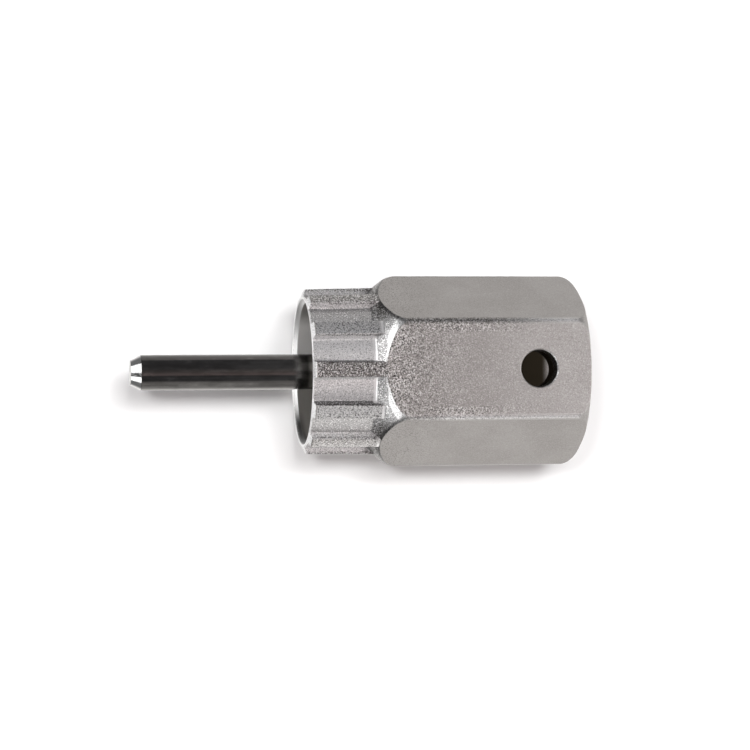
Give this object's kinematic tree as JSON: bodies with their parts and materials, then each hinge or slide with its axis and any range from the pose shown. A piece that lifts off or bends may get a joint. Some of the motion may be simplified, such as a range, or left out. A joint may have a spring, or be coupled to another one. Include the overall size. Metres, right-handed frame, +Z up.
{
  "type": "cassette lockring tool",
  "caption": "Splined steel cup with a wrench hexagon, a square drive socket and a guide pin, which turns the lockring of a bicycle's cassette.",
  "frame": {"origin": "on the tool's axis, in the plane of the splined cup's rim", "axes": "+X runs along the axis from the rim to the hexagon's end face, +Z points up out of the flat that has the cross hole, and the tool lies on the opposite flat"},
  "size_m": [0.0637, 0.0272, 0.0238],
  "materials": {
    "body_steel": "satin plating over a grit-blasted forging",
    "pin_steel": "polished, dark"
  },
  "bodies": {
    "root": {"body": "body_steel", "guide_pin": "pin_steel"}
  },
  "joints": []
}
